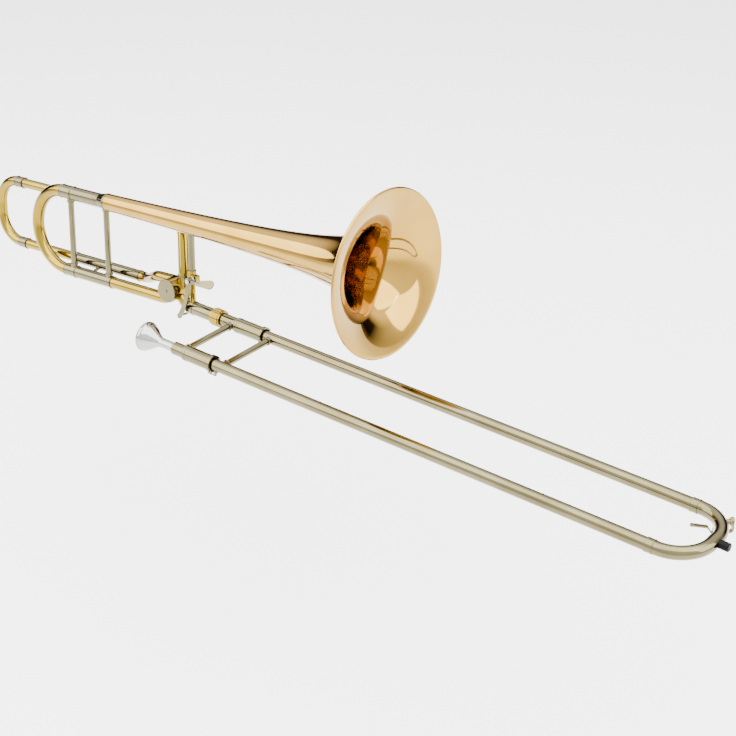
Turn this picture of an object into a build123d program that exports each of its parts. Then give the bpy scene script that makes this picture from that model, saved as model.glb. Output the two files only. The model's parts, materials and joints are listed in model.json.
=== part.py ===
"""Tenor trombone with an open-wrap F attachment, closed hand slide, in playing order.

The hand slide lies along +X, forward. Its two tubes are at Y = -spacing/2 on the mouthpiece
side and Y = +spacing/2 on the bell side. The origin is the middle of the inner slide brace,
where the left hand holds the instrument. The bell section has its own plane, hinged on the
bell-side slide axis: x forward along the bell, y up from the lower leg to the bell, and z out
towards the mouthpiece side. Every size is in millimetres.
"""

from build123d import *
from math import cos, radians, sin
import os

os.makedirs("parts", exist_ok=True)

# ---------------------------------------------------------------- driving dimensions
solder_gap = 0.05         # between soldered tubes, one inside the other
running_gap = 0.1         # radial play of a slide tube or a spindle
face_gap = 0.3            # between faces that slide or turn past each other

# hand slide
slide_spacing = 98.2      # between the two slide tube axes
inner_bore = 6.95         # radii from here on, unless a name says otherwise
inner_wall = 0.25
stocking_rise = 0.1       # the stocking is the slightly fatter last stretch of an inner tube
stocking_length = 110.0
outer_wall = 0.5
outer_tube_start = 42.0
outer_tube_end = 692.0
inner_tube_end = 672.0
outer_brace_x = 67.6
brace_radius = 4.4
brace_collar = 1.0        # how much the foot of a brace is fatter than its post

# cork barrels at the top of the inner slide
barrel_start = 6.0
barrel_length = 45.0
barrel_outer = 10.3
barrel_wall = 0.8
end_ring_length = 4.5
end_ring_outer = 11.6
end_ring_play = 1.6       # between the end ring and the outer tube
felt_length = 8.0
felt_inset = 0.8
barrel_floor = 6.0
lock_swing = 30.0         # degrees the slide lock ring turns
catch_height = 3.9
catch_length = 3.0
claw_width = 4.0
claw_thickness = 1.4

# mouthpiece and its receiver
receiver_start = -13.5
receiver_outer = 8.75
mouthpiece_face = -69.5
rim_outer = 19.2
cup_mouth = 12.8
throat = 3.4
shank_outer = 6.2
shank_taper = 0.5
shank_depth = 25.0
leadpipe_length = 190.0

# slide bow
bow_tube = 8.1
bow_corner = 43.0         # bend radius of each of its corners, on the centre line
bow_wall = 0.7
bow_ferrule_length = 10.0
bow_ferrule_rise = 0.45
bumper_radius = 5.2
bumper_length = 11.0
bumper_stud = 2.5
bumper_stud_length = 7.0

# water key on the bow
water_key_angle = 45.0    # degrees round the bell-side corner, from straight ahead
key_pivot_in = 2.1        # its pivot, inside the bow tube's axis and below the bow's plane
key_pivot_down = 13.0
key_pin = 1.1
key_hub = 2.6
key_width = 4.5
key_thickness = 2.0
key_knee_in = 11.0        # where the key bends, inward of its pivot and below the bow's plane
key_knee_down = 5.0
key_foot_in = 6.4
key_tip_out = 12.0
key_tip_down = 1.0
key_tip_radius = 2.6
ear_thickness = 1.8
spit_hole = 1.8
nipple_outer = 3.2
nipple_height = 3.2
pad_radius = 4.4
pad_thickness = 2.0
cup_wall = 0.7
key_spring_radius = 1.8
key_spring_in = 4.0       # inward of the pivot

# joint between the slide and the bell section
nut_start = -36.5
nut_length = 17.0
nut_outer = 12.3
thread_outer = 9.7
joint_sleeve_outer = 9.0
thread_end = -20.0
thread_length = 10.0
bell_receiver_start = -71.0
bell_receiver_outer = 9.3
joint_cone_length = 36.0
joint_cone_root = 8.4     # radius of the tapered joint at the thread
joint_cone_tip = 8.0
neck_ferrule_start = -81.5
neck_ferrule_outer = 9.9
knurl_count = 28

# bell section
hinge_x = -101.5          # where the lower leg's axis meets the slide axis
bell_tilt = 4.53          # degrees, the bell rises going forward
bell_lean = 6.74          # degrees, the bell leans away from the mouthpiece side
leg_spacing = 116.8       # from the lower leg to the bell axis
bell_mouth = 363.8        # station of the bell's rim
bell_rim = 107.95         # an 8.5 inch bell
bell_wall = 0.6
flare_offset = 13.0       # the flare follows rim * (offset / (offset + depth)) ** power
flare_power = 0.592
bead_radius = 1.75
rim_wire_radius = 1.1
bell_brace_at = 25.3
bell_seam = 180.0         # where the spun flare is brazed to the stem

# main tuning slide
crook_ferrule_start = -229.0
sleeve_start = -206.0
sleeve_end = -132.0
cone_start = -150.0
bell_tail = -134.0
inner_leg_end = -139.0
crook_end = -218.0
upper_leg_outer = 8.9
lower_leg_outer = 7.75
leg_wall = 0.5
sleeve_wall = 0.75
upper_crook = 9.2
lower_crook = 8.15
crook_wall = 0.7
crook_ferrule_rise = 0.7
slide_brace_at = -213.6
sleeve_brace_at = -140.6

# F attachment
f_upper = 104.5           # height of the upper F leg over the lower leg's axis
f_lower = 11.5
f_side = -22.0            # both F legs lie this far behind the bell's plane
f_crook_end = -394.5
f_crook_bend = 39.5
f_ferrule_start = -355.0
f_ferrule_end = -339.0
f_sleeve_start = -233.0
f_sleeve_end = -98.0
f_crook_leg_end = -345.0
f_inner_end = -115.0
sleeve_bead_rise = 0.6
sleeve_bead_length = 2.5
stay_radius = 2.0
lower_stay_at = -180.0
upper_stay_at = -160.0
f_leg_outer = 7.0
f_crook_tube = 7.4
f_tube = 7.6

# rotary valve
valve_x = -5.7
valve_y = 19.6
casing_outer = 16.5
casing_wall = 2.3
casing_half = 17.0
plate_thickness = 2.5
cap_thickness = 3.2
cap_radius = 16.2
port_bore = 6.95
knuckle_outer = 8.15
neck_bend = 16.0
leg_bend = 20.0
rotor_half = 13.5
rotor_passage = 5.2
f_top_x = 5.8
port_ferrule_start = 12.0 # along the downtube from the middle of its port
port_ferrule_end = 16.0
port_ferrule_rise = 0.8
spindle = 2.4
stop_arm_reach = 8.5
stop_arm_angle = -63.0    # degrees, open, from the bell's forward direction
stop_arm_turn = 90.0
stop_arm_thickness = 2.0
stop_lug_reach = 13.0
stop_bumper_radius = 2.2
screw_head = 2.6
screw_height = 1.8
screw_slot = 0.8
stop_bumper_at = 12.0
stop_bumper_spread = 24.0 # degrees between a bumper and the lug that meets it

# thumb lever and link
lever_x = 31.0
lever_y = 40.0
lever_side = 12.0         # the lever's plate is this far out from the bell's plane
lever_thickness = 2.5
lever_hub = 5.0
lever_stud = 2.0
stud_head = 3.2
arm_end_x = 12.5
arm_end_y = -13.2
arm_width = 6.5
link_pin = 1.6
link_eye = 3.2
link_rod = 1.6
link_thickness = 2.5
paddle_start = 17.0
paddle_reach = 22.0
paddle_neck = 3.4
paddle_radius = 6.5
paddle_thickness = 2.0
paddle_tilt = 50.0        # degrees the paddle's face turns out from straight up
paddle_rise = 9.5
brace_foot = 4.2
brace_collar_outer = 6.0
saddle_low = 34.0
saddle_high = 45.5
collar_top = 51.0
saddle_half = 4.0

# ---------------------------------------------------------------- worked-out sizes and planes
half_spacing = slide_spacing / 2
inner_outer = inner_bore + inner_wall
stocking_outer = inner_outer + stocking_rise
outer_bore = stocking_outer + running_gap
outer_tube = outer_bore + outer_wall
barrel_bore = barrel_outer - barrel_wall
inner_tube_seat = thread_end + 4.0
barrel_end = barrel_start + barrel_length
end_ring_end = barrel_end + end_ring_length
bow_centre_x = outer_tube_end + bow_ferrule_length
bow_bore = bow_tube - bow_wall
bow_front = bow_centre_x + bow_corner + bow_tube
key_pivot_out = bow_corner - key_pivot_in
key_spring_out = key_pivot_out - key_spring_in
upper_sleeve_bore = upper_leg_outer + running_gap
lower_sleeve_bore = lower_leg_outer + running_gap
upper_sleeve = upper_sleeve_bore + sleeve_wall
lower_sleeve = lower_sleeve_bore + sleeve_wall
upper_ferrule = upper_crook + crook_ferrule_rise
lower_ferrule = lower_crook + crook_ferrule_rise
f_sleeve_bore = f_leg_outer + running_gap
f_sleeve = f_sleeve_bore + sleeve_wall
f_ferrule = f_crook_tube + crook_ferrule_rise
casing_bore = casing_outer - casing_wall
rotor_radius = casing_bore - running_gap

forward = Vector(1, 0, 0)
bell_forward = Vector(cos(radians(bell_tilt)), 0, sin(radians(bell_tilt)))
bell_side = Vector(0, 1, 0).rotate(Axis((0, 0, 0), bell_forward), -bell_lean)
bell_plane = Plane(origin=(hinge_x, half_spacing, 0), x_dir=bell_forward, z_dir=-bell_side)


def slide_axis(y, x=0.0):
    """Plane across the slide at station x, round the tube whose axis is at y."""
    return Plane(origin=(x, y, 0), x_dir=(0, 1, 0), z_dir=forward)


def at_bell(x, y, z=0.0):
    """Point of the bell section, in world coordinates."""
    return bell_plane.from_local_coords(Vector(x, y, z))


def leg_axis(y, z, x=0.0):
    """Plane across a leg of the bell section at station x."""
    return Plane(origin=at_bell(x, y, z), x_dir=bell_plane.y_dir, z_dir=bell_forward)


mouthpiece_side = slide_axis(-half_spacing)
bell_side_tube = slide_axis(half_spacing)
lower_axis = leg_axis(0, 0)
upper_axis = leg_axis(leg_spacing, 0)
f_lower_axis = leg_axis(f_lower, f_side)
f_upper_axis = leg_axis(f_upper, f_side)
valve_plane = Plane(origin=at_bell(valve_x, valve_y), x_dir=bell_forward, z_dir=-bell_side)


f_left_port = at_bell(-8, 30, 0)
f_top_port = at_bell(f_top_x, 24, -3)
bell_upright = Plane(origin=at_bell(bell_brace_at, 0), x_dir=bell_forward, z_dir=bell_plane.y_dir)
paddle_face = bell_plane.y_dir * cos(radians(paddle_tilt)) - bell_side * sin(radians(paddle_tilt))
paddle_forward = bell_forward.rotate(Axis((0, 0, 0), -bell_side), paddle_rise)
paddle_plane = Plane(origin=at_bell(lever_x + paddle_start, lever_y, lever_side + 1),
                     x_dir=paddle_forward, z_dir=paddle_face)

key_out = Vector(cos(radians(water_key_angle)), sin(radians(water_key_angle)), 0)
bow_centre = Vector(bow_centre_x, half_spacing - bow_corner, 0)
key_side = Plane(origin=bow_centre, x_dir=key_out, z_dir=key_out.cross(Vector(0, 0, 1)))
key_radial = Plane(origin=bow_centre, x_dir=(0, 0, 1), z_dir=key_out)
key_tip_plane = Plane(origin=bow_centre + key_out * key_tip_out - Vector(0, 0, key_tip_down), z_dir=(0, 0, 1))
key_spring_plane = Plane(origin=bow_centre + key_out * key_spring_out
                         + Vector(0, 0, key_thickness / 2 + 3 * face_gap - key_pivot_down), z_dir=(0, 0, 1))


def bell_radius(station):
    """Outer radius of the bell at a station along its axis."""
    depth = bell_mouth - station
    return bell_rim * (flare_offset / (flare_offset + depth)) ** flare_power


def finish(piece, label):
    """Name a finished piece and write its file."""
    piece.part.label = label
    export_step(piece.part, "parts/" + label + ".step")


# ---------------------------------------------------------------- shapes used more than once
def rings(label, *sizes):
    """One solid ring or tube for each (plane, start, end, outer radius, bore radius)."""
    with BuildPart() as piece:
        for plane, start, end, outer, bore in sizes:
            with BuildSketch(plane.offset(start)):
                Circle(outer)
                Circle(bore, mode=Mode.SUBTRACT)
            extrude(amount=end - start)
    finish(piece, label)


def bent_tube(points, bends, outer, bore, cuts=()):
    """Tube through points with rounded corners; each cut is a (plane, radius, half length) bar."""
    with BuildPart() as piece:
        with BuildLine() as route:
            FilletPolyline(*points, radius=bends)
        with BuildSketch(Plane(origin=route.line @ 0, z_dir=route.line % 0)):
            Circle(outer)
            Circle(bore, mode=Mode.SUBTRACT)
        sweep(path=route.line)
        for plane, radius, half_length in cuts:
            with BuildSketch(plane.offset(-half_length)):
                Circle(radius)
            extrude(amount=2 * half_length, mode=Mode.SUBTRACT)
    return piece


def brace(start, end, axis, start_radius, end_radius, post, collar):
    """Post from one tube's axis to another's, with a collar and a saddle at each end."""
    direction = (end - start).normalized()
    length = (end - start).length
    foot = 3.0
    with BuildPart() as piece:
        with BuildSketch(Plane(origin=start, z_dir=direction)):
            Circle(post)
        extrude(amount=length)
        with BuildSketch(Plane(origin=start, z_dir=direction)):
            Circle(post + collar)
        extrude(amount=start_radius + foot)
        with BuildSketch(Plane(origin=end, z_dir=-direction)):
            Circle(post + collar)
        extrude(amount=end_radius + foot)
        for point, radius in ((start, start_radius), (end, end_radius)):
            with BuildSketch(Plane(origin=point - axis * 20, z_dir=axis)):
                Circle(radius + solder_gap)
            extrude(amount=40, mode=Mode.SUBTRACT)
    return piece


# ---------------------------------------------------------------- mouthpiece and leadpipe
mouthpiece_profile = Plane.XZ.offset(half_spacing)
mouthpiece_axis = Axis((0, -half_spacing, 0), (1, 0, 0))
bell_tube_axis = Axis((0, half_spacing, 0), (1, 0, 0))


def mouthpiece():
    """Turned cup with a rounded rim, a throat and a tapered shank that sits in the leadpipe."""
    rim = mouthpiece_face
    shank_end = receiver_start + shank_depth
    shank_tip = shank_outer - shank_taper
    with BuildPart() as piece:
        with BuildSketch(mouthpiece_profile):
            with BuildLine():
                Spline((rim + 3.5, rim_outer), (rim, (rim_outer + cup_mouth) / 2), (rim + 3, cup_mouth),
                       tangents=[(-0.2, 1), (0.3, -1)])
                Spline((rim + 3, cup_mouth), (rim + 15, 10.2), (rim + 26, throat),
                       tangents=[(0.6, -0.35), (0.7, -0.35)])
                Polyline((rim + 26, throat), (shank_end, shank_tip - 0.9), (shank_end, shank_tip),
                         (receiver_start - 1, shank_outer), (rim + 41, shank_outer + 0.3))
                Spline((rim + 41, shank_outer + 0.3), (rim + 30, 6.9), (rim + 21, 11.0), (rim + 13, 16.0),
                       (rim + 7.5, rim_outer - 1.2), tangents=[(-1, 0.05), (-1, 0.25)])
                Polyline((rim + 7.5, rim_outer - 1.2), (rim + 6.5, rim_outer), (rim + 3.5, rim_outer))
            make_face()
        revolve(axis=mouthpiece_axis)
    finish(piece, "mouthpiece")


def leadpipe():
    """Drawn pipe inside the inner tube; its mouth takes the shank."""
    start = receiver_start + 1.5
    end = start + leadpipe_length
    shank_end = receiver_start + shank_depth
    mouth = shank_outer + solder_gap
    seat = shank_outer - shank_taper + solder_gap
    outer = inner_bore - solder_gap
    with BuildPart() as piece:
        with BuildSketch(mouthpiece_profile):
            with BuildLine():
                Polyline((start, outer), (end, outer), (end, outer - 0.3), (shank_end + 25, seat - 0.3),
                         (shank_end + 1, seat), (shank_end, seat), (start, mouth), close=True)
            make_face()
        revolve(axis=mouthpiece_axis)
    finish(piece, "leadpipe")


# ---------------------------------------------------------------- inner slide
def inner_tube(y, start, label):
    """Inner slide tube with its fatter stocking at the far end."""
    with BuildPart() as tube:
        with BuildSketch(slide_axis(y, start)):
            Circle(inner_outer)
        extrude(amount=inner_tube_end - start)
        with BuildSketch(slide_axis(y, inner_tube_end - stocking_length)):
            Circle(stocking_outer)
        extrude(amount=stocking_length)
        with BuildSketch(slide_axis(y, start)):
            Circle(inner_bore)
        extrude(amount=inner_tube_end - start, mode=Mode.SUBTRACT)
    finish(tube, "inner_tube_" + label)


def cork_barrels():
    """Barrels soldered on the inner tubes; the outer tubes run up into them."""
    with BuildPart() as barrels:
        for y in (-half_spacing, half_spacing):
            with BuildSketch(slide_axis(y, barrel_start)):
                Circle(barrel_outer)
            extrude(amount=barrel_length)
        chamfer(barrels.faces().group_by(Axis.X)[0].edges(), barrel_wall)
        for y in (-half_spacing, half_spacing):
            with BuildSketch(slide_axis(y, barrel_start + barrel_floor)):
                Circle(barrel_bore)
            extrude(amount=barrel_length, mode=Mode.SUBTRACT)
            with BuildSketch(slide_axis(y, barrel_start)):
                Circle(inner_outer + solder_gap)
            extrude(amount=barrel_length, mode=Mode.SUBTRACT)
    finish(barrels, "cork_barrels")


def inner_slide():
    """Receiver, barrels, rings, felts, inner tubes and the brace the hand holds."""
    rings("mouthpiece_receiver",
          (mouthpiece_side, receiver_start, barrel_start, receiver_outer, inner_outer + solder_gap))
    inner_tube(-half_spacing, receiver_start + 1.5, "mouthpiece")
    inner_tube(half_spacing, inner_tube_seat, "bell")
    cork_barrels()
    rings("barrel_end_ring",
          (bell_side_tube, barrel_end, end_ring_end, end_ring_outer, outer_tube + end_ring_play))
    felt = (end_ring_end - felt_inset - felt_length, end_ring_end - felt_inset,
            outer_tube + end_ring_play - face_gap, outer_tube + face_gap)
    rings("barrel_felts", (mouthpiece_side, *felt), (bell_side_tube, *felt))
    cork_start = barrel_start + barrel_floor
    cork = (cork_start, outer_tube_start - face_gap, barrel_bore - solder_gap, inner_outer + solder_gap)
    rings("slide_stop_corks", (mouthpiece_side, *cork), (bell_side_tube, *cork))
    hand_brace = brace(Vector(0, -half_spacing, 0), Vector(0, half_spacing, 0), forward,
                       receiver_outer, joint_sleeve_outer, brace_radius, brace_collar)
    finish(hand_brace, "inner_brace")


def slide_lock():
    """Turning ring at the mouth of the mouthpiece-side barrel, with a claw for the catch."""
    start = barrel_end + face_gap
    catch_start = end_ring_end + 2.0
    claw_top = outer_tube + catch_height + 0.4
    claw_end = catch_start + catch_length + 3.0
    with BuildPart() as ring:
        with BuildSketch(slide_axis(-half_spacing, start)):
            Circle(end_ring_outer)
            Circle(outer_tube + end_ring_play, mode=Mode.SUBTRACT)
        extrude(amount=end_ring_length)
        with BuildSketch(slide_axis(-half_spacing, start)):
            with PolarLocations(claw_top + claw_thickness / 2, 1, start_angle=-90 - lock_swing):
                Rectangle(claw_thickness, claw_width)
            with PolarLocations(end_ring_outer, 1, start_angle=-90 - lock_swing):
                Rectangle(2 * (claw_top - end_ring_outer) + 0.4, claw_width)
        extrude(amount=end_ring_length)
        with BuildSketch(slide_axis(-half_spacing, start)):
            with PolarLocations(claw_top + claw_thickness / 2, 1, start_angle=-90 - lock_swing):
                Rectangle(claw_thickness, claw_width)
        extrude(amount=claw_end - start)
        tooth_low = outer_tube + 1.2
        tooth_middle = (tooth_low + claw_top) / 2
        with BuildSketch(slide_axis(-half_spacing, catch_start + catch_length + 0.4)):
            with PolarLocations(tooth_middle, 1, start_angle=-90 - lock_swing):
                Rectangle(claw_top - tooth_low + 0.2, claw_width)
        extrude(amount=claw_end - catch_start - catch_length - 0.4)
    finish(ring, "slide_lock_ring")
    with BuildPart() as catch:
        with BuildSketch(slide_axis(-half_spacing, catch_start)):
            with PolarLocations(outer_tube + catch_height / 2, 1, start_angle=-90):
                Rectangle(catch_height, claw_width)
            Circle(outer_tube + solder_gap, mode=Mode.SUBTRACT)
        extrude(amount=catch_length)
    finish(catch, "slide_lock_catch")


# ---------------------------------------------------------------- outer slide
def bow_route(start):
    """Corners of the bow's centre line, from one slide tube round to the other."""
    front = bow_centre_x + bow_corner
    return ((start, -half_spacing, 0), (front, -half_spacing, 0), (front, half_spacing, 0),
            (start, half_spacing, 0))


def bow_envelope():
    """Solid bar on the bow's centre line, a solder gap fatter than the bow, for cutting seats."""
    with BuildPart() as bar:
        with BuildLine() as route:
            FilletPolyline(*bow_route(outer_tube_end), radius=bow_corner)
        with BuildSketch(Plane(origin=route.line @ 0, z_dir=route.line % 0)):
            Circle(bow_tube + solder_gap)
        sweep(path=route.line)
    return bar.part


def slide_bow():
    """The U-shaped bow with its spit hole, its ferrules, and the rubber tip on its stud."""
    envelope = bow_envelope()
    with BuildPart() as bow:
        with BuildLine() as route:
            FilletPolyline(*bow_route(outer_tube_end + solder_gap), radius=bow_corner)
        with BuildSketch(Plane(origin=route.line @ 0, z_dir=route.line % 0)):
            Circle(bow_tube)
            Circle(bow_bore, mode=Mode.SUBTRACT)
        sweep(path=route.line)
        with BuildSketch(key_radial.offset(bow_corner)):
            Circle(spit_hole)
        extrude(amount=bow_tube + 1, mode=Mode.SUBTRACT)
    finish(bow, "slide_bow")

    with BuildPart() as ferrules:
        for y in (-half_spacing, half_spacing):
            with BuildSketch(slide_axis(y, outer_tube_end - 1)):
                Circle(bow_tube + bow_ferrule_rise)
            extrude(amount=bow_ferrule_length)
            with BuildSketch(slide_axis(y, outer_tube_end - 1)):
                Circle(outer_tube + solder_gap)
            extrude(amount=bow_ferrule_length, mode=Mode.SUBTRACT)
            with BuildSketch(slide_axis(y, outer_tube_end)):
                Circle(bow_tube + solder_gap)
            extrude(amount=bow_ferrule_length, mode=Mode.SUBTRACT)
    finish(ferrules, "bow_ferrules")

    with BuildPart() as stud:
        with BuildSketch(slide_axis(0, bow_front - bow_tube / 2)):
            Circle(bumper_stud)
        extrude(amount=bow_tube / 2 + bumper_stud_length)
        add(envelope, mode=Mode.SUBTRACT)
    finish(stud, "bumper_stud")
    with BuildPart() as bumper:
        with BuildSketch(slide_axis(0, bow_front - 2.5)):
            Circle(bumper_radius)
        extrude(amount=bumper_length + 2.5)
        fillet(bumper.faces().sort_by(Axis.X)[-1].edges(), 1.2)
        with BuildSketch(slide_axis(0, bow_front - 2.5)):
            Circle(bumper_stud + solder_gap)
        extrude(amount=2.5 + bumper_stud_length + solder_gap, mode=Mode.SUBTRACT)
        add(envelope, mode=Mode.SUBTRACT)
    finish(bumper, "rubber_bumper")


def outer_slide():
    """The two running tubes and their brace."""
    for y, label in ((-half_spacing, "mouthpiece"), (half_spacing, "bell")):
        rings("outer_tube_" + label,
              (slide_axis(y), outer_tube_start, outer_tube_end, outer_tube, outer_bore))
    slide_brace = brace(Vector(outer_brace_x, -half_spacing, 0), Vector(outer_brace_x, half_spacing, 0),
                        forward, outer_tube, outer_tube, brace_radius, brace_collar)
    finish(slide_brace, "outer_brace")


# ---------------------------------------------------------------- water key
def water_key():
    """Saddle with a nipple and two ears, a pin, a spring and the sprung key with its pad."""
    envelope = bow_envelope()
    outside = bow_corner + bow_tube
    ear_start = key_width / 2 + face_gap
    with BuildPart() as saddle:
        with BuildSketch(key_radial.offset(bow_corner)):
            Circle(nipple_outer)
            Circle(spit_hole, mode=Mode.SUBTRACT)
        extrude(amount=bow_tube + nipple_height)
        for offset in (ear_start, -ear_start - ear_thickness):
            with BuildSketch(key_side.offset(offset)):
                with Locations((key_pivot_out, -key_pivot_down)):
                    Circle(key_hub)
                with Locations((key_pivot_out, -key_pivot_down / 2 - 2)):
                    Rectangle(2 * key_hub, key_pivot_down - 4)
                with Locations((key_pivot_out, -key_pivot_down)):
                    Circle(key_pin + solder_gap, mode=Mode.SUBTRACT)
            extrude(amount=ear_thickness)
        add(envelope, mode=Mode.SUBTRACT)
    finish(saddle, "water_key_saddle")
    with BuildPart() as pin:
        with BuildSketch(key_side.offset(-ear_start - ear_thickness)):
            with Locations((key_pivot_out, -key_pivot_down)):
                Circle(key_pin)
        extrude(amount=2 * (ear_start + ear_thickness))
    finish(pin, "water_key_pin")

    pad_start = outside + nipple_height + face_gap / 2
    cup_end = pad_start + pad_thickness + cup_wall
    heel = cup_end + key_thickness / 2
    with BuildPart() as pad:
        with BuildSketch(key_radial.offset(pad_start)):
            Circle(pad_radius)
        extrude(amount=pad_thickness)
    finish(pad, "water_key_pad")
    tip = (key_tip_out, -key_tip_down)
    knee = (key_pivot_out - key_knee_in, -key_knee_down)
    foot = (key_pivot_out - key_foot_in, -key_pivot_down)
    with BuildPart() as key:
        with BuildLine(key_side) as route:
            FilletPolyline(tip, knee, foot, (heel, -key_pivot_down), (heel, pad_radius),
                           radius=[4, 3, 3])
        with BuildSketch(Plane(origin=route.line @ 0, x_dir=key_side.z_dir, z_dir=route.line % 0)):
            Rectangle(key_width, key_thickness)
        sweep(path=route.line)
        with BuildSketch(key_tip_plane):
            Circle(key_tip_radius)
        extrude(amount=key_thickness / 2, both=True)
        with BuildSketch(key_side.offset(-key_width / 2)):
            with Locations((key_pivot_out, -key_pivot_down)):
                Circle(key_hub)
        extrude(amount=key_width)
        with BuildSketch(key_radial.offset(pad_start + pad_thickness / 2)):
            Circle(pad_radius + cup_wall)
        extrude(amount=pad_thickness / 2 + cup_wall + key_thickness / 2)
        with BuildSketch(key_radial.offset(pad_start)):
            Circle(pad_radius + solder_gap)
        extrude(amount=pad_thickness, mode=Mode.SUBTRACT)
        with BuildSketch(key_side.offset(-key_width)):
            with Locations((key_pivot_out, -key_pivot_down)):
                Circle(key_pin + running_gap)
        extrude(amount=2 * key_width, mode=Mode.SUBTRACT)
    finish(key, "water_key")
    with BuildPart() as spring:
        with BuildSketch(key_spring_plane):
            Circle(key_spring_radius)
            Circle(key_spring_radius - 0.6, mode=Mode.SUBTRACT)
        extrude(amount=6.0)
        add(envelope, mode=Mode.SUBTRACT)
    finish(spring, "water_key_spring")


# ---------------------------------------------------------------- joint with the lock nut
def slide_joint():
    """Tapered male joint, the receiver it seats in, and the knurled nut over both."""
    thread_start = thread_end - thread_length
    cone_tip = thread_start - joint_cone_length
    with BuildPart() as male:
        with BuildSketch(Plane.XZ.offset(-half_spacing)):
            with BuildLine():
                Polyline((cone_tip, inner_bore), (cone_tip, joint_cone_tip), (thread_start, joint_cone_root),
                         (thread_start, thread_outer), (thread_end, thread_outer),
                         (thread_end, joint_sleeve_outer), (barrel_start, joint_sleeve_outer),
                         (barrel_start, inner_outer + solder_gap),
                         (inner_tube_seat, inner_outer + solder_gap), (inner_tube_seat, inner_bore),
                         close=True)
            make_face()
        revolve(axis=bell_tube_axis)
    finish(male, "slide_joint_sleeve")
    receiver_end = thread_start - face_gap
    with BuildPart() as female:
        with BuildSketch(Plane.XZ.offset(-half_spacing)):
            with BuildLine():
                Polyline((bell_receiver_start, inner_bore), (bell_receiver_start, bell_receiver_outer),
                         (receiver_end, bell_receiver_outer), (receiver_end, joint_cone_root + solder_gap),
                         (cone_tip - face_gap, joint_cone_tip + solder_gap),
                         (cone_tip - face_gap, inner_bore), close=True)
            make_face()
        revolve(axis=bell_tube_axis)
    finish(female, "bell_receiver")
    with BuildPart() as nut:
        with BuildSketch(slide_axis(half_spacing, nut_start)):
            Circle(nut_outer - 0.8)
        extrude(amount=nut_length)
        with BuildSketch(slide_axis(half_spacing, nut_start + 2.5)):
            Circle(nut_outer)
            with PolarLocations(nut_outer + 0.5, knurl_count):
                Circle(0.9, mode=Mode.SUBTRACT)
        extrude(amount=nut_length - 5)
        with BuildSketch(slide_axis(half_spacing, nut_start)):
            Circle(thread_outer + running_gap)
        extrude(amount=nut_length, mode=Mode.SUBTRACT)
    finish(nut, "bell_lock_nut")


# ---------------------------------------------------------------- bell
def flare_point(depth, inset=0.0):
    """Point of the flare's outline at a depth behind the mouth, moved in by a wall."""
    radius = bell_radius(bell_mouth - depth)
    slope = flare_power * radius / (flare_offset + depth)
    normal = (1 + slope ** 2) ** 0.5
    return (bell_mouth - depth + inset * slope / normal, radius - inset / normal)


def bell_outline(inset):
    """Points along the flare from the rim to the tail, closer together near the rim."""
    first = 0.4
    steps = 11
    length = bell_mouth - bell_tail
    growth = (length / 6.0) ** (1 / (steps - 1))
    depths = [first] + [6.0 * growth ** step for step in range(steps - 1)]
    return [flare_point(depth, inset) for depth in depths] + [flare_point(length, inset)]


def bell():
    """Spun flare brazed to a drawn stem, with a wire rolled into the rim."""
    axis = Axis(at_bell(0, leg_spacing), bell_forward)
    profile = Plane(origin=at_bell(0, leg_spacing), x_dir=bell_forward, z_dir=-bell_side)
    outside = bell_outline(0.0)
    inside = bell_outline(bell_wall)
    bead = (bell_mouth - bead_radius, bell_rim - bead_radius)
    seam = Plane(origin=at_bell(bell_seam, leg_spacing), z_dir=bell_forward)
    with BuildPart() as whole:
        with BuildSketch(profile):
            with BuildLine():
                Spline(*outside)
                Line(outside[-1], inside[-1])
                Spline(*inside)
                Line(inside[0], outside[0])
            make_face()
            with Locations(bead):
                Circle(bead_radius)
                Circle(rim_wire_radius + solder_gap, mode=Mode.SUBTRACT)
        revolve(axis=axis)
    with BuildPart() as flare:
        add(whole.part)
        split(bisect_by=seam, keep=Keep.TOP)
    finish(flare, "bell_flare")
    with BuildPart() as stem:
        add(whole.part)
        split(bisect_by=seam.offset(-solder_gap), keep=Keep.BOTTOM)
    finish(stem, "bell_stem")
    with BuildPart() as wire:
        with BuildSketch(profile):
            with Locations(bead):
                Circle(rim_wire_radius)
        revolve(axis=axis)
    finish(wire, "rim_wire")


def bell_envelope():
    """Solid of the bell, a solder gap fatter, for cutting the brace that meets it."""
    with BuildPart() as solid_bell:
        with BuildSketch(Plane(origin=at_bell(0, leg_spacing), x_dir=bell_forward, z_dir=-bell_side)):
            with BuildLine():
                outside = bell_outline(-solder_gap)
                Spline(*outside)
                Polyline(outside[-1], (outside[-1][0], 0), (outside[0][0], 0), outside[0])
            make_face()
        revolve(axis=Axis(at_bell(0, leg_spacing), bell_forward))
    return solid_bell.part


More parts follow.
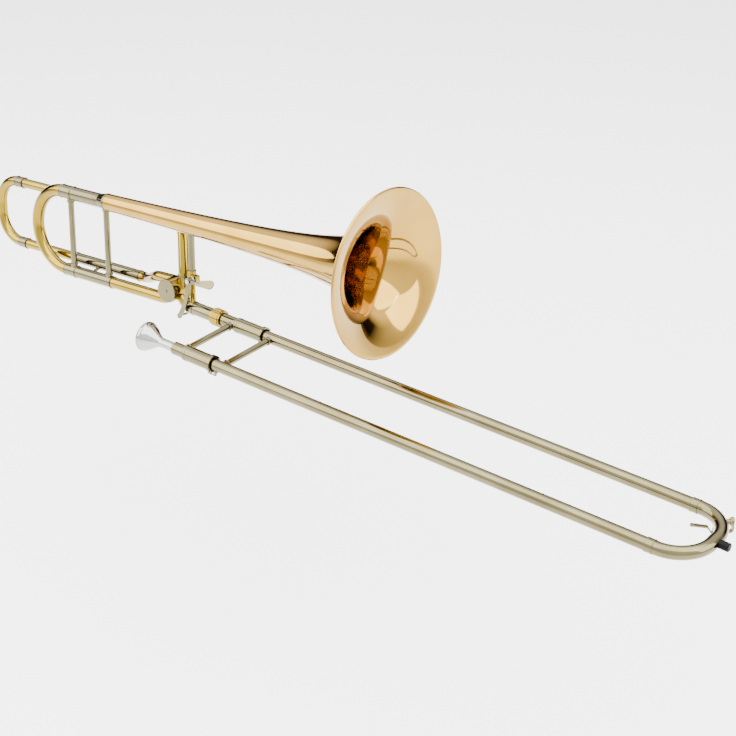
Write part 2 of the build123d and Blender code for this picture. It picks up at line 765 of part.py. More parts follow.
def bell_brace():
    """Nickel post down from the bell to a brass foot, whose saddle carries the thumb lever."""
    with BuildPart() as post:
        with BuildSketch(bell_upright.offset(collar_top)):
            Circle(brace_radius + 0.3)
        extrude(amount=leg_spacing - collar_top)
        with BuildSketch(bell_upright.offset(leg_spacing - bell_radius(bell_brace_at) - 2.5)):
            Circle(brace_radius + 0.3 + brace_collar)
        extrude(amount=10)
        add(bell_envelope(), mode=Mode.SUBTRACT)
    finish(post, "bell_brace_post")
    with BuildPart() as foot:
        with BuildSketch(bell_upright):
            Circle(brace_foot)
        extrude(amount=collar_top)
        with BuildSketch(bell_upright.offset(saddle_high)):
            Circle(brace_collar_outer)
        extrude(amount=collar_top - saddle_high)
        with BuildSketch(bell_plane.offset(-saddle_half)):
            with Locations(((bell_brace_at - saddle_half + lever_x + saddle_half + 1) / 2,
                            (saddle_low + saddle_high) / 2)):
                RectangleRounded(lever_x - bell_brace_at + 2 * saddle_half + 1,
                                 saddle_high - saddle_low, 2.0)
        extrude(amount=2 * saddle_half)
        with BuildSketch(slide_axis(half_spacing, neck_ferrule_start - 5)):
            Circle(neck_ferrule_outer + solder_gap)
        extrude(amount=25, mode=Mode.SUBTRACT)
    finish(foot, "bell_brace_foot")


# ---------------------------------------------------------------- main tuning slide
def main_tuning_slide():
    """Tapered crook, its ferrules, the two inner legs and the brace between the ferrules."""
    middle = leg_spacing / 2
    with BuildPart() as crook:
        with BuildLine(bell_plane) as route:
            CenterArc((crook_ferrule_start, middle), middle, 90, 180)
        for radius in (0, crook_wall):
            with BuildSketch(Plane(origin=route.line @ 0, z_dir=route.line % 0)):
                Circle(upper_crook - radius)
            with BuildSketch(Plane(origin=route.line @ 1, z_dir=route.line % 1)):
                Circle(lower_crook - radius)
            sweep(path=route.line, multisection=True, mode=Mode.ADD if radius == 0 else Mode.SUBTRACT)
        for plane, outer in ((upper_axis, upper_crook), (lower_axis, lower_crook)):
            with BuildSketch(plane.offset(crook_ferrule_start)):
                Circle(outer)
                Circle(outer - crook_wall, mode=Mode.SUBTRACT)
            extrude(amount=crook_end - crook_ferrule_start)
    finish(crook, "main_crook")
    ferrule_end = sleeve_start - face_gap
    rings("main_crook_ferrules",
          (upper_axis, crook_ferrule_start, crook_end, upper_ferrule, upper_crook + solder_gap),
          (upper_axis, crook_end, ferrule_end, upper_ferrule, upper_leg_outer + solder_gap),
          (lower_axis, crook_ferrule_start, crook_end, lower_ferrule, lower_crook + solder_gap),
          (lower_axis, crook_end, ferrule_end, lower_ferrule, lower_leg_outer + solder_gap))
    rings("main_inner_legs",
          (upper_axis, crook_end + solder_gap, inner_leg_end, upper_leg_outer, upper_leg_outer - leg_wall),
          (lower_axis, crook_end + solder_gap, inner_leg_end, lower_leg_outer, lower_leg_outer - leg_wall))
    slide_brace = brace(at_bell(slide_brace_at, 0), at_bell(slide_brace_at, leg_spacing), bell_forward,
                        lower_ferrule, upper_ferrule, brace_radius, brace_collar)
    finish(slide_brace, "main_slide_brace")


def main_sleeves():
    """Outer sleeves of the main tuning slide, the leg to the valve and the rear bell brace."""
    bead_start = sleeve_end - sleeve_bead_length
    rings("lower_sleeve",
          (lower_axis, sleeve_start, sleeve_end, lower_sleeve, lower_sleeve_bore),
          (lower_axis, bead_start, sleeve_end, lower_sleeve + sleeve_bead_rise, lower_sleeve_bore))
    tail = bell_radius(bell_tail)
    with BuildPart() as sleeve:
        with BuildSketch(Plane(origin=at_bell(0, leg_spacing), x_dir=bell_forward, z_dir=-bell_side)):
            with BuildLine():
                Polyline((sleeve_start, upper_sleeve_bore), (sleeve_start, upper_sleeve),
                         (cone_start, upper_sleeve), (bell_tail - 3, tail + 0.2), (bell_tail, tail + 0.2),
                         (bell_tail, tail - bell_wall), (inner_leg_end + 1, upper_sleeve_bore), close=True)
            make_face()
        revolve(axis=Axis(at_bell(0, leg_spacing), bell_forward))
    finish(sleeve, "upper_sleeve")
    elbow = at_bell(valve_x - valve_y, 0)
    leg = bent_tube([at_bell(sleeve_end + solder_gap, 0), elbow, at_bell(valve_x - 8, valve_y - 8)],
                    leg_bend, knuckle_outer, port_bore, [(valve_plane, casing_outer + solder_gap, 25)])
    finish(leg, "lower_leg")
    post = brace(at_bell(sleeve_brace_at, 0), at_bell(sleeve_brace_at, leg_spacing), bell_forward,
                 lower_sleeve, upper_sleeve, brace_radius, brace_collar)
    with BuildPart() as rear_brace:
        add(post.part)
        with BuildSketch(Plane(origin=at_bell(0, leg_spacing), x_dir=bell_forward, z_dir=-bell_side)):
            with BuildLine():
                Polyline((cone_start, 0), (cone_start, upper_sleeve + solder_gap),
                         (bell_tail - 3, tail + 0.2 + solder_gap), (bell_tail + 9, tail + 0.2 + solder_gap),
                         (bell_tail + 9, 0), close=True)
            make_face()
        revolve(axis=Axis(at_bell(0, leg_spacing), bell_forward), mode=Mode.SUBTRACT)
    finish(rear_brace, "rear_brace")


# ---------------------------------------------------------------- F attachment
def f_tuning_slide():
    """Crook at the far end, its ferrules and the two inner legs."""
    crook = bent_tube([at_bell(f_crook_leg_end, f_upper, f_side), at_bell(f_crook_end, f_upper, f_side),
                       at_bell(f_crook_end, f_lower, f_side), at_bell(f_crook_leg_end, f_lower, f_side)],
                      f_crook_bend, f_crook_tube, f_crook_tube - leg_wall)
    finish(crook, "f_crook")
    sizes = []
    for axis in (f_upper_axis, f_lower_axis):
        sizes.append((axis, f_ferrule_start, f_crook_leg_end, f_ferrule, f_crook_tube + solder_gap))
        sizes.append((axis, f_crook_leg_end, f_ferrule_end, f_ferrule, f_leg_outer + solder_gap))
    rings("f_crook_ferrules", *sizes)
    legs = (f_crook_leg_end + solder_gap, f_inner_end, f_leg_outer, f_leg_outer - leg_wall)
    rings("f_inner_legs", (f_upper_axis, *legs), (f_lower_axis, *legs))


def f_loop():
    """Outer sleeves, the neck and the downtube into the valve, and the stays to the main legs."""
    bead = f_sleeve + sleeve_bead_rise
    sizes = []
    for axis in (f_upper_axis, f_lower_axis):
        sizes.append((axis, f_sleeve_start, f_sleeve_end, f_sleeve, f_sleeve_bore))
        sizes.append((axis, f_sleeve_start, f_sleeve_start + sleeve_bead_length, bead, f_sleeve_bore))
        sizes.append((axis, f_sleeve_end - sleeve_bead_length, f_sleeve_end, bead, f_sleeve_bore))
    rings("f_sleeves", *sizes)
    casing_cut = [(valve_plane, casing_outer + solder_gap, 25)]
    neck = bent_tube([at_bell(f_sleeve_end + solder_gap, f_lower, f_side),
                      at_bell(f_sleeve_end + 14, f_lower, f_side), at_bell(-44, 28, -3), f_left_port],
                     30, f_tube, port_bore, casing_cut)
    finish(neck, "f_neck")
    down = bent_tube([f_top_port, at_bell(f_top_x, 46, -4), at_bell(-12.2, f_upper, f_side),
                      at_bell(f_sleeve_end + solder_gap, f_upper, f_side)],
                     [30, 24], f_tube, port_bore, casing_cut)
    finish(down, "f_downtube")
    rings("pipe_ferrules",
          (bell_side_tube, neck_ferrule_start, bell_receiver_start, neck_ferrule_outer,
           knuckle_outer + solder_gap),
          (Plane(origin=f_top_port, z_dir=at_bell(f_top_x, 46, -4) - f_top_port),
           port_ferrule_start, port_ferrule_end, f_tube + port_ferrule_rise, f_tube + solder_gap))
    lower_stay = brace(at_bell(lower_stay_at, 0), at_bell(lower_stay_at, f_lower, f_side), bell_forward,
                       lower_sleeve, f_sleeve, stay_radius, 0.8)
    upper_stay = brace(at_bell(upper_stay_at, leg_spacing), at_bell(upper_stay_at, f_upper, f_side),
                       bell_forward, upper_sleeve, f_sleeve, stay_radius, 0.8)
    with BuildPart() as stays:
        add(lower_stay.part)
        add(upper_stay.part)
    finish(stays, "f_leg_stays")


# ---------------------------------------------------------------- rotary valve
def valve_casing():
    """Brass casing with four ports, its two bearing plates and the screw cap."""
    ports = [(at_bell(valve_x, valve_y), at_bell(valve_x - 1, valve_y - 1)),
             (at_bell(valve_x, valve_y), at_bell(valve_x + 1, valve_y - 1)),
             (f_left_port, f_left_port - bell_forward),
             (f_top_port, f_top_port + bell_plane.y_dir)]
    with BuildPart() as casing:
        with BuildSketch(valve_plane.offset(-casing_half)):
            Circle(casing_outer)
            Circle(casing_bore, mode=Mode.SUBTRACT)
        extrude(amount=2 * casing_half)
        for start, through in ports:
            with BuildSketch(Plane(origin=start, z_dir=through - start)):
                Circle(port_bore)
            extrude(amount=25, mode=Mode.SUBTRACT)
    finish(casing, "valve_casing")
    plate_start = rotor_half + running_gap
    plate = (casing_bore - solder_gap, spindle + running_gap)
    rings("bearing_plates",
          (valve_plane, plate_start, plate_start + plate_thickness, *plate),
          (valve_plane, -plate_start - plate_thickness, -plate_start, *plate))
    with BuildPart() as cap:
        with BuildSketch(valve_plane.offset(casing_half)):
            Circle(cap_radius)
        extrude(amount=cap_thickness)
        fillet(cap.faces().sort_by(Axis(valve_plane.origin, valve_plane.z_dir))[-1].edges(), 0.9)
        with BuildSketch(valve_plane.offset(casing_half + cap_thickness)):
            Circle(2.2)
        extrude(amount=0.8)
    finish(cap, "valve_cap")


def rotor():
    """Rotor with two curved passages and its spindles, the stop arm, its screw and the bumpers."""
    passage_centre = rotor_radius * 2 ** 0.5
    back = -casing_half - face_gap - stop_arm_thickness
    with BuildPart() as core:
        with BuildSketch(valve_plane.offset(-rotor_half)):
            Circle(rotor_radius)
        extrude(amount=2 * rotor_half)
        with BuildSketch(valve_plane.offset(back)):
            Circle(spindle)
        extrude(amount=rotor_half + plate_thickness - back)
        for side in (-1, 1):
            with BuildSketch(Plane(origin=at_bell(valve_x, valve_y + side * passage_centre),
                                   x_dir=bell_plane.y_dir, z_dir=bell_forward)):
                with Locations((-side * rotor_radius, 0)):
                    Circle(rotor_passage)
            revolve(axis=Axis(at_bell(valve_x, valve_y + side * passage_centre), bell_side),
                    mode=Mode.SUBTRACT)
    finish(core, "valve_rotor")
    with BuildPart() as arm:
        with BuildSketch(valve_plane.offset(back)):
            Circle(4.5)
            with PolarLocations(stop_arm_reach, 1, start_angle=stop_arm_angle):
                Circle(2.8)
            with PolarLocations(stop_arm_reach / 2, 1, start_angle=stop_arm_angle):
                Rectangle(stop_arm_reach, 5.0)
            with PolarLocations(stop_lug_reach / 2, 1, start_angle=stop_arm_angle + 180):
                Rectangle(stop_lug_reach, 5.0)
            Circle(spindle + solder_gap, mode=Mode.SUBTRACT)
        extrude(amount=stop_arm_thickness)
    finish(arm, "stop_arm")
    with BuildPart() as screw:
        with BuildSketch(valve_plane.offset(back - screw_height)):
            Circle(screw_head)
        extrude(amount=screw_height)
        with BuildSketch(valve_plane.offset(back - screw_height)):
            Rectangle(3 * screw_head, screw_slot)
        extrude(amount=screw_slot, mode=Mode.SUBTRACT)
    finish(screw, "stop_arm_screw")
    with BuildPart() as bumpers:
        lug_open = stop_arm_angle + 180
        for angle in (lug_open + stop_bumper_spread, lug_open - stop_arm_turn - stop_bumper_spread):
            with BuildSketch(valve_plane.offset(back)):
                with PolarLocations(stop_bumper_at, 1, start_angle=angle):
                    Circle(stop_bumper_radius)
            extrude(amount=-back - rotor_half - running_gap - plate_thickness)
    finish(bumpers, "stop_bumpers")


# ---------------------------------------------------------------- thumb lever and link
def thumb_lever():
    """Bell crank on a stud: paddle forward, arm down, and a pin under the neck to the link."""
    hub_start = saddle_half + 5.0
    hub_end = lever_side + lever_thickness + 0.4
    link_start = -casing_half - 2 * face_gap - stop_arm_thickness
    link_end = link_start - link_thickness
    with BuildPart() as stud:
        with BuildSketch(bell_plane.offset(saddle_half)):
            with Locations((lever_x, lever_y)):
                Circle(lever_stud)
        extrude(amount=hub_end + face_gap - saddle_half)
        with BuildSketch(bell_plane.offset(hub_end + face_gap)):
            with Locations((lever_x, lever_y)):
                Circle(stud_head)
        extrude(amount=1.2)
    finish(stud, "lever_stud")
    rings("lever_spring",
          (Plane(origin=at_bell(lever_x, lever_y), x_dir=bell_forward, z_dir=-bell_side),
           saddle_half + face_gap, hub_start - face_gap, lever_hub - 0.8, lever_stud + face_gap))
    with BuildPart() as lever:
        with BuildLine(bell_plane.offset(lever_side)) as arm:
            ThreePointArc((lever_x, lever_y), (lever_x - 4.5, lever_y - 25), (arm_end_x, arm_end_y))
        with BuildSketch(Plane(origin=arm.line @ 0, x_dir=-bell_side, z_dir=arm.line % 0)):
            with Locations((lever_thickness / 2, 0)):
                Rectangle(lever_thickness, arm_width)
        sweep(path=arm.line)
        with BuildSketch(bell_plane.offset(lever_side)):
            with Locations((arm_end_x, arm_end_y)):
                Circle(arm_width / 2 + 0.4)
        extrude(amount=lever_thickness)
        with BuildSketch(bell_plane.offset(hub_start)):
            with Locations((lever_x, lever_y)):
                Circle(lever_hub)
        extrude(amount=hub_end - hub_start)
        with BuildSketch(bell_plane.offset(lever_side)):
            with Locations((lever_x + paddle_start / 2 + 2, lever_y)):
                Rectangle(paddle_start + 4, 5.0)
        extrude(amount=lever_thickness)
        with BuildSketch(paddle_plane):
            Circle(paddle_neck)
            with Locations((paddle_reach, 0)):
                Circle(paddle_radius)
            make_hull()
        extrude(amount=paddle_thickness)
        with BuildSketch(bell_plane.offset(lever_side)):
            with Locations((arm_end_x, arm_end_y)):
                Circle(link_pin)
        extrude(amount=link_end - 0.4 - lever_side)
        with BuildSketch(bell_plane):
            with Locations((lever_x, lever_y)):
                Circle(lever_stud + running_gap)
        extrude(amount=lever_side * 2, mode=Mode.SUBTRACT)
    finish(lever, "thumb_lever")

    arm_tip = valve_plane.to_local_coords(at_bell(arm_end_x, arm_end_y))
    eye = Vector(stop_arm_reach, 0, 0).rotate(Axis.Z, stop_arm_angle)
    with BuildPart() as link:
        with BuildSketch(valve_plane.offset(link_end)):
            for point in (arm_tip, eye):
                with Locations((point.X, point.Y)):
                    Circle(link_rod)
            make_hull()
            for point in (arm_tip, eye):
                with Locations((point.X, point.Y)):
                    Circle(link_eye)
            with Locations((arm_tip.X, arm_tip.Y)):
                Circle(link_pin + running_gap, mode=Mode.SUBTRACT)
        extrude(amount=link_thickness)
    finish(link, "valve_link")


# ---------------------------------------------------------------- neck
def neckpipe():
    """Short bent pipe from the valve's front port to the slide receiver."""
    direction = bell_plane.to_local_coords(Vector(hinge_x + 1, half_spacing, 0))
    reach = (valve_x + valve_y) / (direction.X + direction.Y)
    corner = Vector(hinge_x + reach, half_spacing, 0)
    pipe = bent_tube([Vector(bell_receiver_start - solder_gap, half_spacing, 0), corner,
                      at_bell(valve_x + 8, valve_y - 8)],
                     neck_bend, knuckle_outer, port_bore, [(valve_plane, casing_outer + solder_gap, 25)])
    finish(pipe, "neckpipe")


mouthpiece()
leadpipe()
inner_slide()
slide_lock()
outer_slide()
slide_bow()
water_key()
slide_joint()
neckpipe()
bell()
bell_brace()
main_tuning_slide()
main_sleeves()
f_tuning_slide()
f_loop()
valve_casing()
rotor()
thumb_lever()
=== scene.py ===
# %% [markdown]
# # A tenor trombone with an F attachment
# The instrument is a chain of drawn, bent and spun brass tubes. Its shapes and its joints come
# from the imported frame, so this lesson is about what the frame can't give: the finish of each
# metal, the coiled springs, the solder at the joints, and the light that polished brass needs.
# Everything is in metres, and every piece is tied to the body that carries it.

# %% Load the frame
import bmesh
import bpy
import json
from math import cos, radians, sin, tau
from mathutils import Matrix, Vector


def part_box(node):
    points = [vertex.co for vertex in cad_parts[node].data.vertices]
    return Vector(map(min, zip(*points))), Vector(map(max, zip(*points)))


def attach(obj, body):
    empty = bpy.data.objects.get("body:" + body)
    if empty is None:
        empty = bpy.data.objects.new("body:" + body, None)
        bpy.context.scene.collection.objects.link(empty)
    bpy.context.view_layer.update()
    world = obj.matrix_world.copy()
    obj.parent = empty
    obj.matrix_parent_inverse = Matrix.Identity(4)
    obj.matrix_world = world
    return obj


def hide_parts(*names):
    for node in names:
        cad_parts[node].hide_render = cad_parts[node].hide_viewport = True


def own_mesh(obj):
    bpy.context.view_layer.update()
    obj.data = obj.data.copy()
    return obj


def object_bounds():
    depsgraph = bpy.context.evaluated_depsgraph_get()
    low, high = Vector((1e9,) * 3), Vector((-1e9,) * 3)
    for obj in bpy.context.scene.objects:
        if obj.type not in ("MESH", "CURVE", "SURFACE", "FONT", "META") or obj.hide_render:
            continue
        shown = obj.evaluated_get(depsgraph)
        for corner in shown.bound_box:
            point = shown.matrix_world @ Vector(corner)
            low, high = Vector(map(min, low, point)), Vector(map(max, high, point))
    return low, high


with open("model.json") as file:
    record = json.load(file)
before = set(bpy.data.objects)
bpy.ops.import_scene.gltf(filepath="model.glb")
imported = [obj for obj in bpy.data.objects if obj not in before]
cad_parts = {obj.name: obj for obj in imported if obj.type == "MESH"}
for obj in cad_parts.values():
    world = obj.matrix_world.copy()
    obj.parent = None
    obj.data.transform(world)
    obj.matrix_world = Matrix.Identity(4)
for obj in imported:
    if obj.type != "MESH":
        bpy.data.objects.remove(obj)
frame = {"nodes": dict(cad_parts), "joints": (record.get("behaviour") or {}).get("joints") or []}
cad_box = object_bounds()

nodes = frame["nodes"]
low, high = (Vector(corner) for corner in cad_box)
print("pieces", len(nodes), "length", round(high.x - low.x, 3), "m")


# %% [markdown]
# ## Colours and material nodes
# Paint and metal charts are in sRGB hex, while Blender's shaders work in linear light. One
# function does that step, so the hex values below can be compared with any chart. A second
# small function adds a shader node with its settings and its links, which keeps each
# material readable as a list of what the surface has.

# %% Colours and material nodes
def linear(code):
    """sRGB hex such as D3C06A to a linear colour with alpha."""
    values = [int(code[i:i + 2], 16) / 255 for i in (0, 2, 4)]
    return [v / 12.92 if v <= 0.04045 else ((v + 0.055) / 1.055) ** 2.4 for v in values] + [1.0]


def add_node(tree, kind, settings=None, links=None):
    """A node of that kind; settings are its properties or input values, links its inputs."""
    made = tree.nodes.new(kind)
    for name, value in (settings or {}).items():
        if isinstance(name, str) and hasattr(made, name):
            setattr(made, name, value)
        else:
            made.inputs[name].default_value = value
    for name, source in (links or {}).items():
        tree.links.new(source, made.inputs[name])
    return made


def new_material(name):
    """An empty material and its node tree."""
    material = bpy.data.materials.new(name)
    material.use_nodes = True
    material.node_tree.nodes.clear()
    return material, material.node_tree


# %% [markdown]
# ## Lacquered brass
# The tubes are drawn through a die, bent, buffed and then sprayed with a clear lacquer. Buffing
# leaves a mirror with very fine lines along the tube, and hand work leaves it slightly wavy,
# so a reflection's edge wanders. A plain metallic shader would give a perfect pipe. Here the
# base colour drifts a little, the roughness varies over centimetres, and a faint bump makes
# the reflections wander. The lacquer is the shader's own coat, which adds a second, white
# highlight over the coloured one, as varnish does. The same recipe serves every metal on the
# instrument: only the alloy's colour, the polish and the lacquer change.

# %% Polished metal recipe
def polished_metal(name, bright, deep, polish, lacquer, waviness, buff_mm=0.4):
    """Buffed metal: two shades of the alloy, its roughness, lacquer weight and hand-made waves."""
    material, tree = new_material(name)
    place = add_node(tree, "ShaderNodeTexCoord")
    drift = add_node(tree, "ShaderNodeTexNoise",
                     {"Scale": 14.0, "Detail": 3.0, "Roughness": 0.55},
                     {"Vector": place.outputs["Object"]})
    shade = add_node(tree, "ShaderNodeValToRGB", {}, {"Fac": drift.outputs["Fac"]})
    shade.color_ramp.elements[0].position = 0.32
    shade.color_ramp.elements[0].color = linear(deep)
    shade.color_ramp.elements[1].position = 0.68
    shade.color_ramp.elements[1].color = linear(bright)
    stretch = add_node(tree, "ShaderNodeMapping", {"Scale": (0.04, 1.0, 1.0)},
                       {"Vector": place.outputs["Object"]})
    buffing = add_node(tree, "ShaderNodeTexNoise",
                       {"Scale": 1000.0 / buff_mm / 3.0, "Detail": 2.0},
                       {"Vector": stretch.outputs["Vector"]})
    haze = add_node(tree, "ShaderNodeTexNoise", {"Scale": 38.0, "Detail": 4.0},
                    {"Vector": place.outputs["Object"]})
    mixed = add_node(tree, "ShaderNodeMath", {"operation": "MULTIPLY_ADD", 1: 0.35},
                     {0: buffing.outputs["Fac"], 2: haze.outputs["Fac"]})
    rough = add_node(tree, "ShaderNodeMapRange",
                     {"From Min": 0.35, "From Max": 1.0, "To Min": polish * 0.7,
                      "To Max": polish * 1.5},
                     {"Value": mixed.outputs["Value"]})
    waves = add_node(tree, "ShaderNodeTexNoise", {"Scale": 55.0, "Detail": 1.5},
                     {"Vector": place.outputs["Object"]})
    wave_bump = add_node(tree, "ShaderNodeBump", {"Strength": waviness, "Distance": 0.0004},
                         {"Height": waves.outputs["Fac"]})
    bump = add_node(tree, "ShaderNodeBump", {"Strength": 0.035, "Distance": 0.00005},
                    {"Height": buffing.outputs["Fac"], "Normal": wave_bump.outputs["Normal"]})
    shader = add_node(tree, "ShaderNodeBsdfPrincipled",
                      {"Metallic": 1.0, "Coat Weight": lacquer, "Coat Roughness": 0.04,
                       "Coat IOR": 1.5},
                      {"Base Color": shade.outputs["Color"], "Roughness": rough.outputs["Result"],
                       "Normal": bump.outputs["Normal"]})
    add_node(tree, "ShaderNodeOutputMaterial", {}, {"Surface": shader.outputs["BSDF"]})
    return material


# A thin gold-coloured lacquer over alloy with about a third zinc: the yellow of the bends.
yellow_brass = polished_metal("lacquered_yellow_brass", "8E7722", "7C661A", 0.09, 0.12, 0.06)
# More copper, so redder, spun and buffed to a mirror.
gold_brass = polished_metal("lacquered_gold_brass", "AA8538", "9A772C", 0.07, 0.1, 0.012)
# Copper, nickel and zinc: a grey with a little yellow, under the same lacquer.
nickel_silver = polished_metal("lacquered_nickel_silver", "6C6549", "5C5539", 0.085, 0.12, 0.05)
chromed_tube = polished_metal("hard_chromed_tube", "A4A7A9", "94989B", 0.07, 0.0, 0.03)
silver_plate = polished_metal("bright_silver_plate", "A6A6A2", "90908B", 0.05, 0.0, 0.03)
spring_steel = polished_metal("bright_spring_steel", "B4B6B8", "9EA1A4", 0.22, 0.0, 0.05)
print("metals", 6)


# %% [markdown]
# ## Rubber, felt and cork
# The tip of the slide and the valve's bumpers are moulded black rubber, which scatters light
# broadly. The rings in the barrels are pressed wool felt: matt, a little fuzzy at the edge,
# which the sheen gives. The stops behind them and the pad of the water key are cut cork, a
# warm brown with darker pores. None of them is metal, so their colour is in the base colour
# and the shine stays weak.

# %% Rubber, felt and cork
def soft_material(name, light, dark, grain_mm, rough, depth_mm, sheen=0.0):
    """Matt material of two shades, with a grain of that size and depth."""
    material, tree = new_material(name)
    place = add_node(tree, "ShaderNodeTexCoord")
    grain = add_node(tree, "ShaderNodeTexNoise", {"Scale": 1000.0 / grain_mm / 2.0, "Detail": 5.0},
                     {"Vector": place.outputs["Object"]})
    shade = add_node(tree, "ShaderNodeValToRGB", {}, {"Fac": grain.outputs["Fac"]})
    shade.color_ramp.elements[0].position = 0.35
    shade.color_ramp.elements[0].color = linear(dark)
    shade.color_ramp.elements[1].position = 0.65
    shade.color_ramp.elements[1].color = linear(light)
    bump = add_node(tree, "ShaderNodeBump", {"Strength": 0.4, "Distance": depth_mm / 1000.0},
                    {"Height": grain.outputs["Fac"]})
    shader = add_node(tree, "ShaderNodeBsdfPrincipled",
                      {"Roughness": rough, "Sheen Weight": sheen, "Sheen Roughness": 0.4,
                       "Specular IOR Level": 0.06},
                      {"Base Color": shade.outputs["Color"], "Normal": bump.outputs["Normal"]})
    add_node(tree, "ShaderNodeOutputMaterial", {}, {"Surface": shader.outputs["BSDF"]})
    return material


moulded_rubber = soft_material("moulded_black_rubber", "0B0A0A", "060606", 0.6, 0.5, 0.05)
pressed_felt = soft_material("pressed_black_felt", "151312", "0B0A09", 0.5, 0.95, 0.15, sheen=0.1)
cut_cork = soft_material("cut_cork", "B98F63", "7E5A38", 1.2, 0.85, 0.2)

# %% [markdown]
# ## Which metal is where
# A maker chooses the alloy for a reason. The bell is gold brass, which has more copper, so it
# is redder and sounds darker. The bends are yellow brass. The straight tubes that hands and
# stands touch, and every brace and ferrule, are nickel silver, which is harder and wears
# better. The mouthpiece is silver plated. Each name below is a piece of the frame, and the
# finish goes into its material slot, with no change to the piece.

# %% Which metal is where
finishes = {
    gold_brass: ["bell_flare", "bell_stem"],
    yellow_brass: ["bell_lock_nut", "neckpipe", "lower_leg", "valve_casing", "main_crook",
                   "f_crook", "f_neck", "f_downtube", "bell_brace_foot", "rim_wire",
                   "valve_rotor", "main_inner_legs", "f_inner_legs"],
    nickel_silver: ["cork_barrels", "mouthpiece_receiver", "outer_tube_mouthpiece",
                    "outer_tube_bell", "inner_brace", "outer_brace", "bow_ferrules",
                    "lower_sleeve", "upper_sleeve", "rear_brace", "main_crook_ferrules",
                    "main_slide_brace", "f_crook_ferrules", "f_sleeves", "f_leg_stays",
                    "pipe_ferrules", "bell_brace_post", "valve_cap", "slide_bow",
                    "bell_receiver", "slide_joint_sleeve", "barrel_end_ring", "slide_lock_ring",
                    "thumb_lever", "valve_link", "stop_arm", "water_key", "water_key_saddle",
                    "bumper_stud", "slide_lock_catch", "leadpipe", "bearing_plates"],
    chromed_tube: ["inner_tube_mouthpiece", "inner_tube_bell"],
    silver_plate: ["mouthpiece"],
    spring_steel: ["lever_stud", "stop_arm_screw", "water_key_pin"],
    moulded_rubber: ["rubber_bumper", "stop_bumpers"],
    cut_cork: ["slide_stop_corks", "water_key_pad"],
    pressed_felt: ["barrel_felts"],
}


def paint(obj, material):
    """Put one finish on the whole of an object."""
    obj.data.materials.clear()
    obj.data.materials.append(material)


for material, names in finishes.items():
    for name in names:
        paint(nodes[name], material)
print("painted", sum(len(names) for names in finishes.values()), "of", len(nodes))


# %% [markdown]
# ## Directions in the instrument
# The slide lies along X. The bell section is tilted and leans a little away from it, so that
# the player's head has room. Its directions come from the frame's own joints: the tuning
# slide moves back along the bell's axis, and the lever's hinge stands square to the bell's
# plane. With those two, any place in the bell section can be said in its own terms: along
# the bell, up from the lower leg, and out towards the mouthpiece side.

# %% Directions in the instrument
joints = {joint["name"]: joint for joint in frame["joints"]}
bell_forward = -Vector(joints["main_tuning_travel"]["axis"]).normalized()
bell_out = -Vector(joints["thumb_lever_hinge"]["axis"]).normalized()
bell_up = bell_out.cross(bell_forward).normalized()
valve_centre = Vector(joints["rotor_turn"]["pos_m"])
leg_start = valve_centre + bell_forward * 0.0057 - bell_up * 0.0196
tube_y = abs(sum(corner[1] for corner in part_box("outer_tube_bell")) / 2)
print("tube spacing", round(tube_y * 2000, 1), "mm")


def at_bell(along, up, out=0.0):
    """Point of the bell section from millimetres along the bell, up and out."""
    return leg_start + (bell_forward * along + bell_up * up + bell_out * out) / 1000.0


# %% [markdown]
# ## Springs
# The lever and the water key each come back by a spring of hard steel wire wound on their
# pivots. The frame keeps its place with a plain sleeve. A wound wire is a curve with a round
# bevel: the helix is worked out point by point, so its pitch and its number of turns are
# real. The wire stays inside the sleeve that it replaces. The water key's spring becomes a mesh,
# because it has to shorten when the key opens.

# %% Springs
def wire(name, points, radius, material, body, cyclic=False):
    """Round wire along points in metres, tied to a body."""
    curve = bpy.data.curves.new(name, "CURVE")
    curve.dimensions = "3D"
    curve.bevel_depth = radius
    curve.bevel_resolution = 5
    curve.use_fill_caps = True
    spline = curve.splines.new("POLY")
    spline.points.add(len(points) - 1)
    for point, place in zip(spline.points, points):
        point.co = (*place, 1.0)
    spline.use_cyclic_u = cyclic
    spline.use_smooth = True
    obj = bpy.data.objects.new(name, curve)
    bpy.context.collection.objects.link(obj)
    curve.materials.append(material)
    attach(obj, body)
    return obj


def square_to(axis):
    """Two directions square to an axis and to each other."""
    side = axis.cross(Vector((0, 0, 1)))
    if side.length < 0.1:
        side = axis.cross(Vector((1, 0, 0)))
    side.normalize()
    return side, axis.cross(side).normalized()


def coil(name, start, axis, radius, length, turns, wire_radius, material, body):
    """Helical spring from start along axis."""
    side, other = square_to(axis)
    steps = int(turns * 24)
    points = [start + axis * (length * i / steps)
              + side * (radius * cos(tau * turns * i / steps))
              + other * (radius * sin(tau * turns * i / steps)) for i in range(steps + 1)]
    return wire(name, points, wire_radius, material, body)


def meshed(wound, body):
    """The same wire as a mesh, which can be squashed by a joint."""
    name = wound.name
    evaluated = wound.evaluated_get(bpy.context.evaluated_depsgraph_get())
    solid = bpy.data.meshes.new_from_object(evaluated)
    bpy.data.objects.remove(wound)
    obj = bpy.data.objects.new(name, solid)
    bpy.context.collection.objects.link(obj)
    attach(obj, body)
    return obj


lever_spring = coil("lever_return_spring", at_bell(31, 40, 4.9), bell_out, 0.00335, 0.0032, 4,
                    0.00042, spring_steel, "inner_slide")
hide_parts("lever_spring")
spring_low, spring_high = (Vector(corner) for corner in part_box("water_key_spring"))
spring_foot = Vector(((spring_low.x + spring_high.x) / 2, (spring_low.y + spring_high.y) / 2,
                      spring_low.z + 0.0004))
key_spring = coil("water_key_return_spring", spring_foot, Vector((0, 0, 1)), 0.0014,
                  spring_high.z - spring_low.z - 0.0014, 4, 0.00032, spring_steel, "hand_slide")
key_spring = meshed(key_spring, "hand_slide")
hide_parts("water_key_spring")
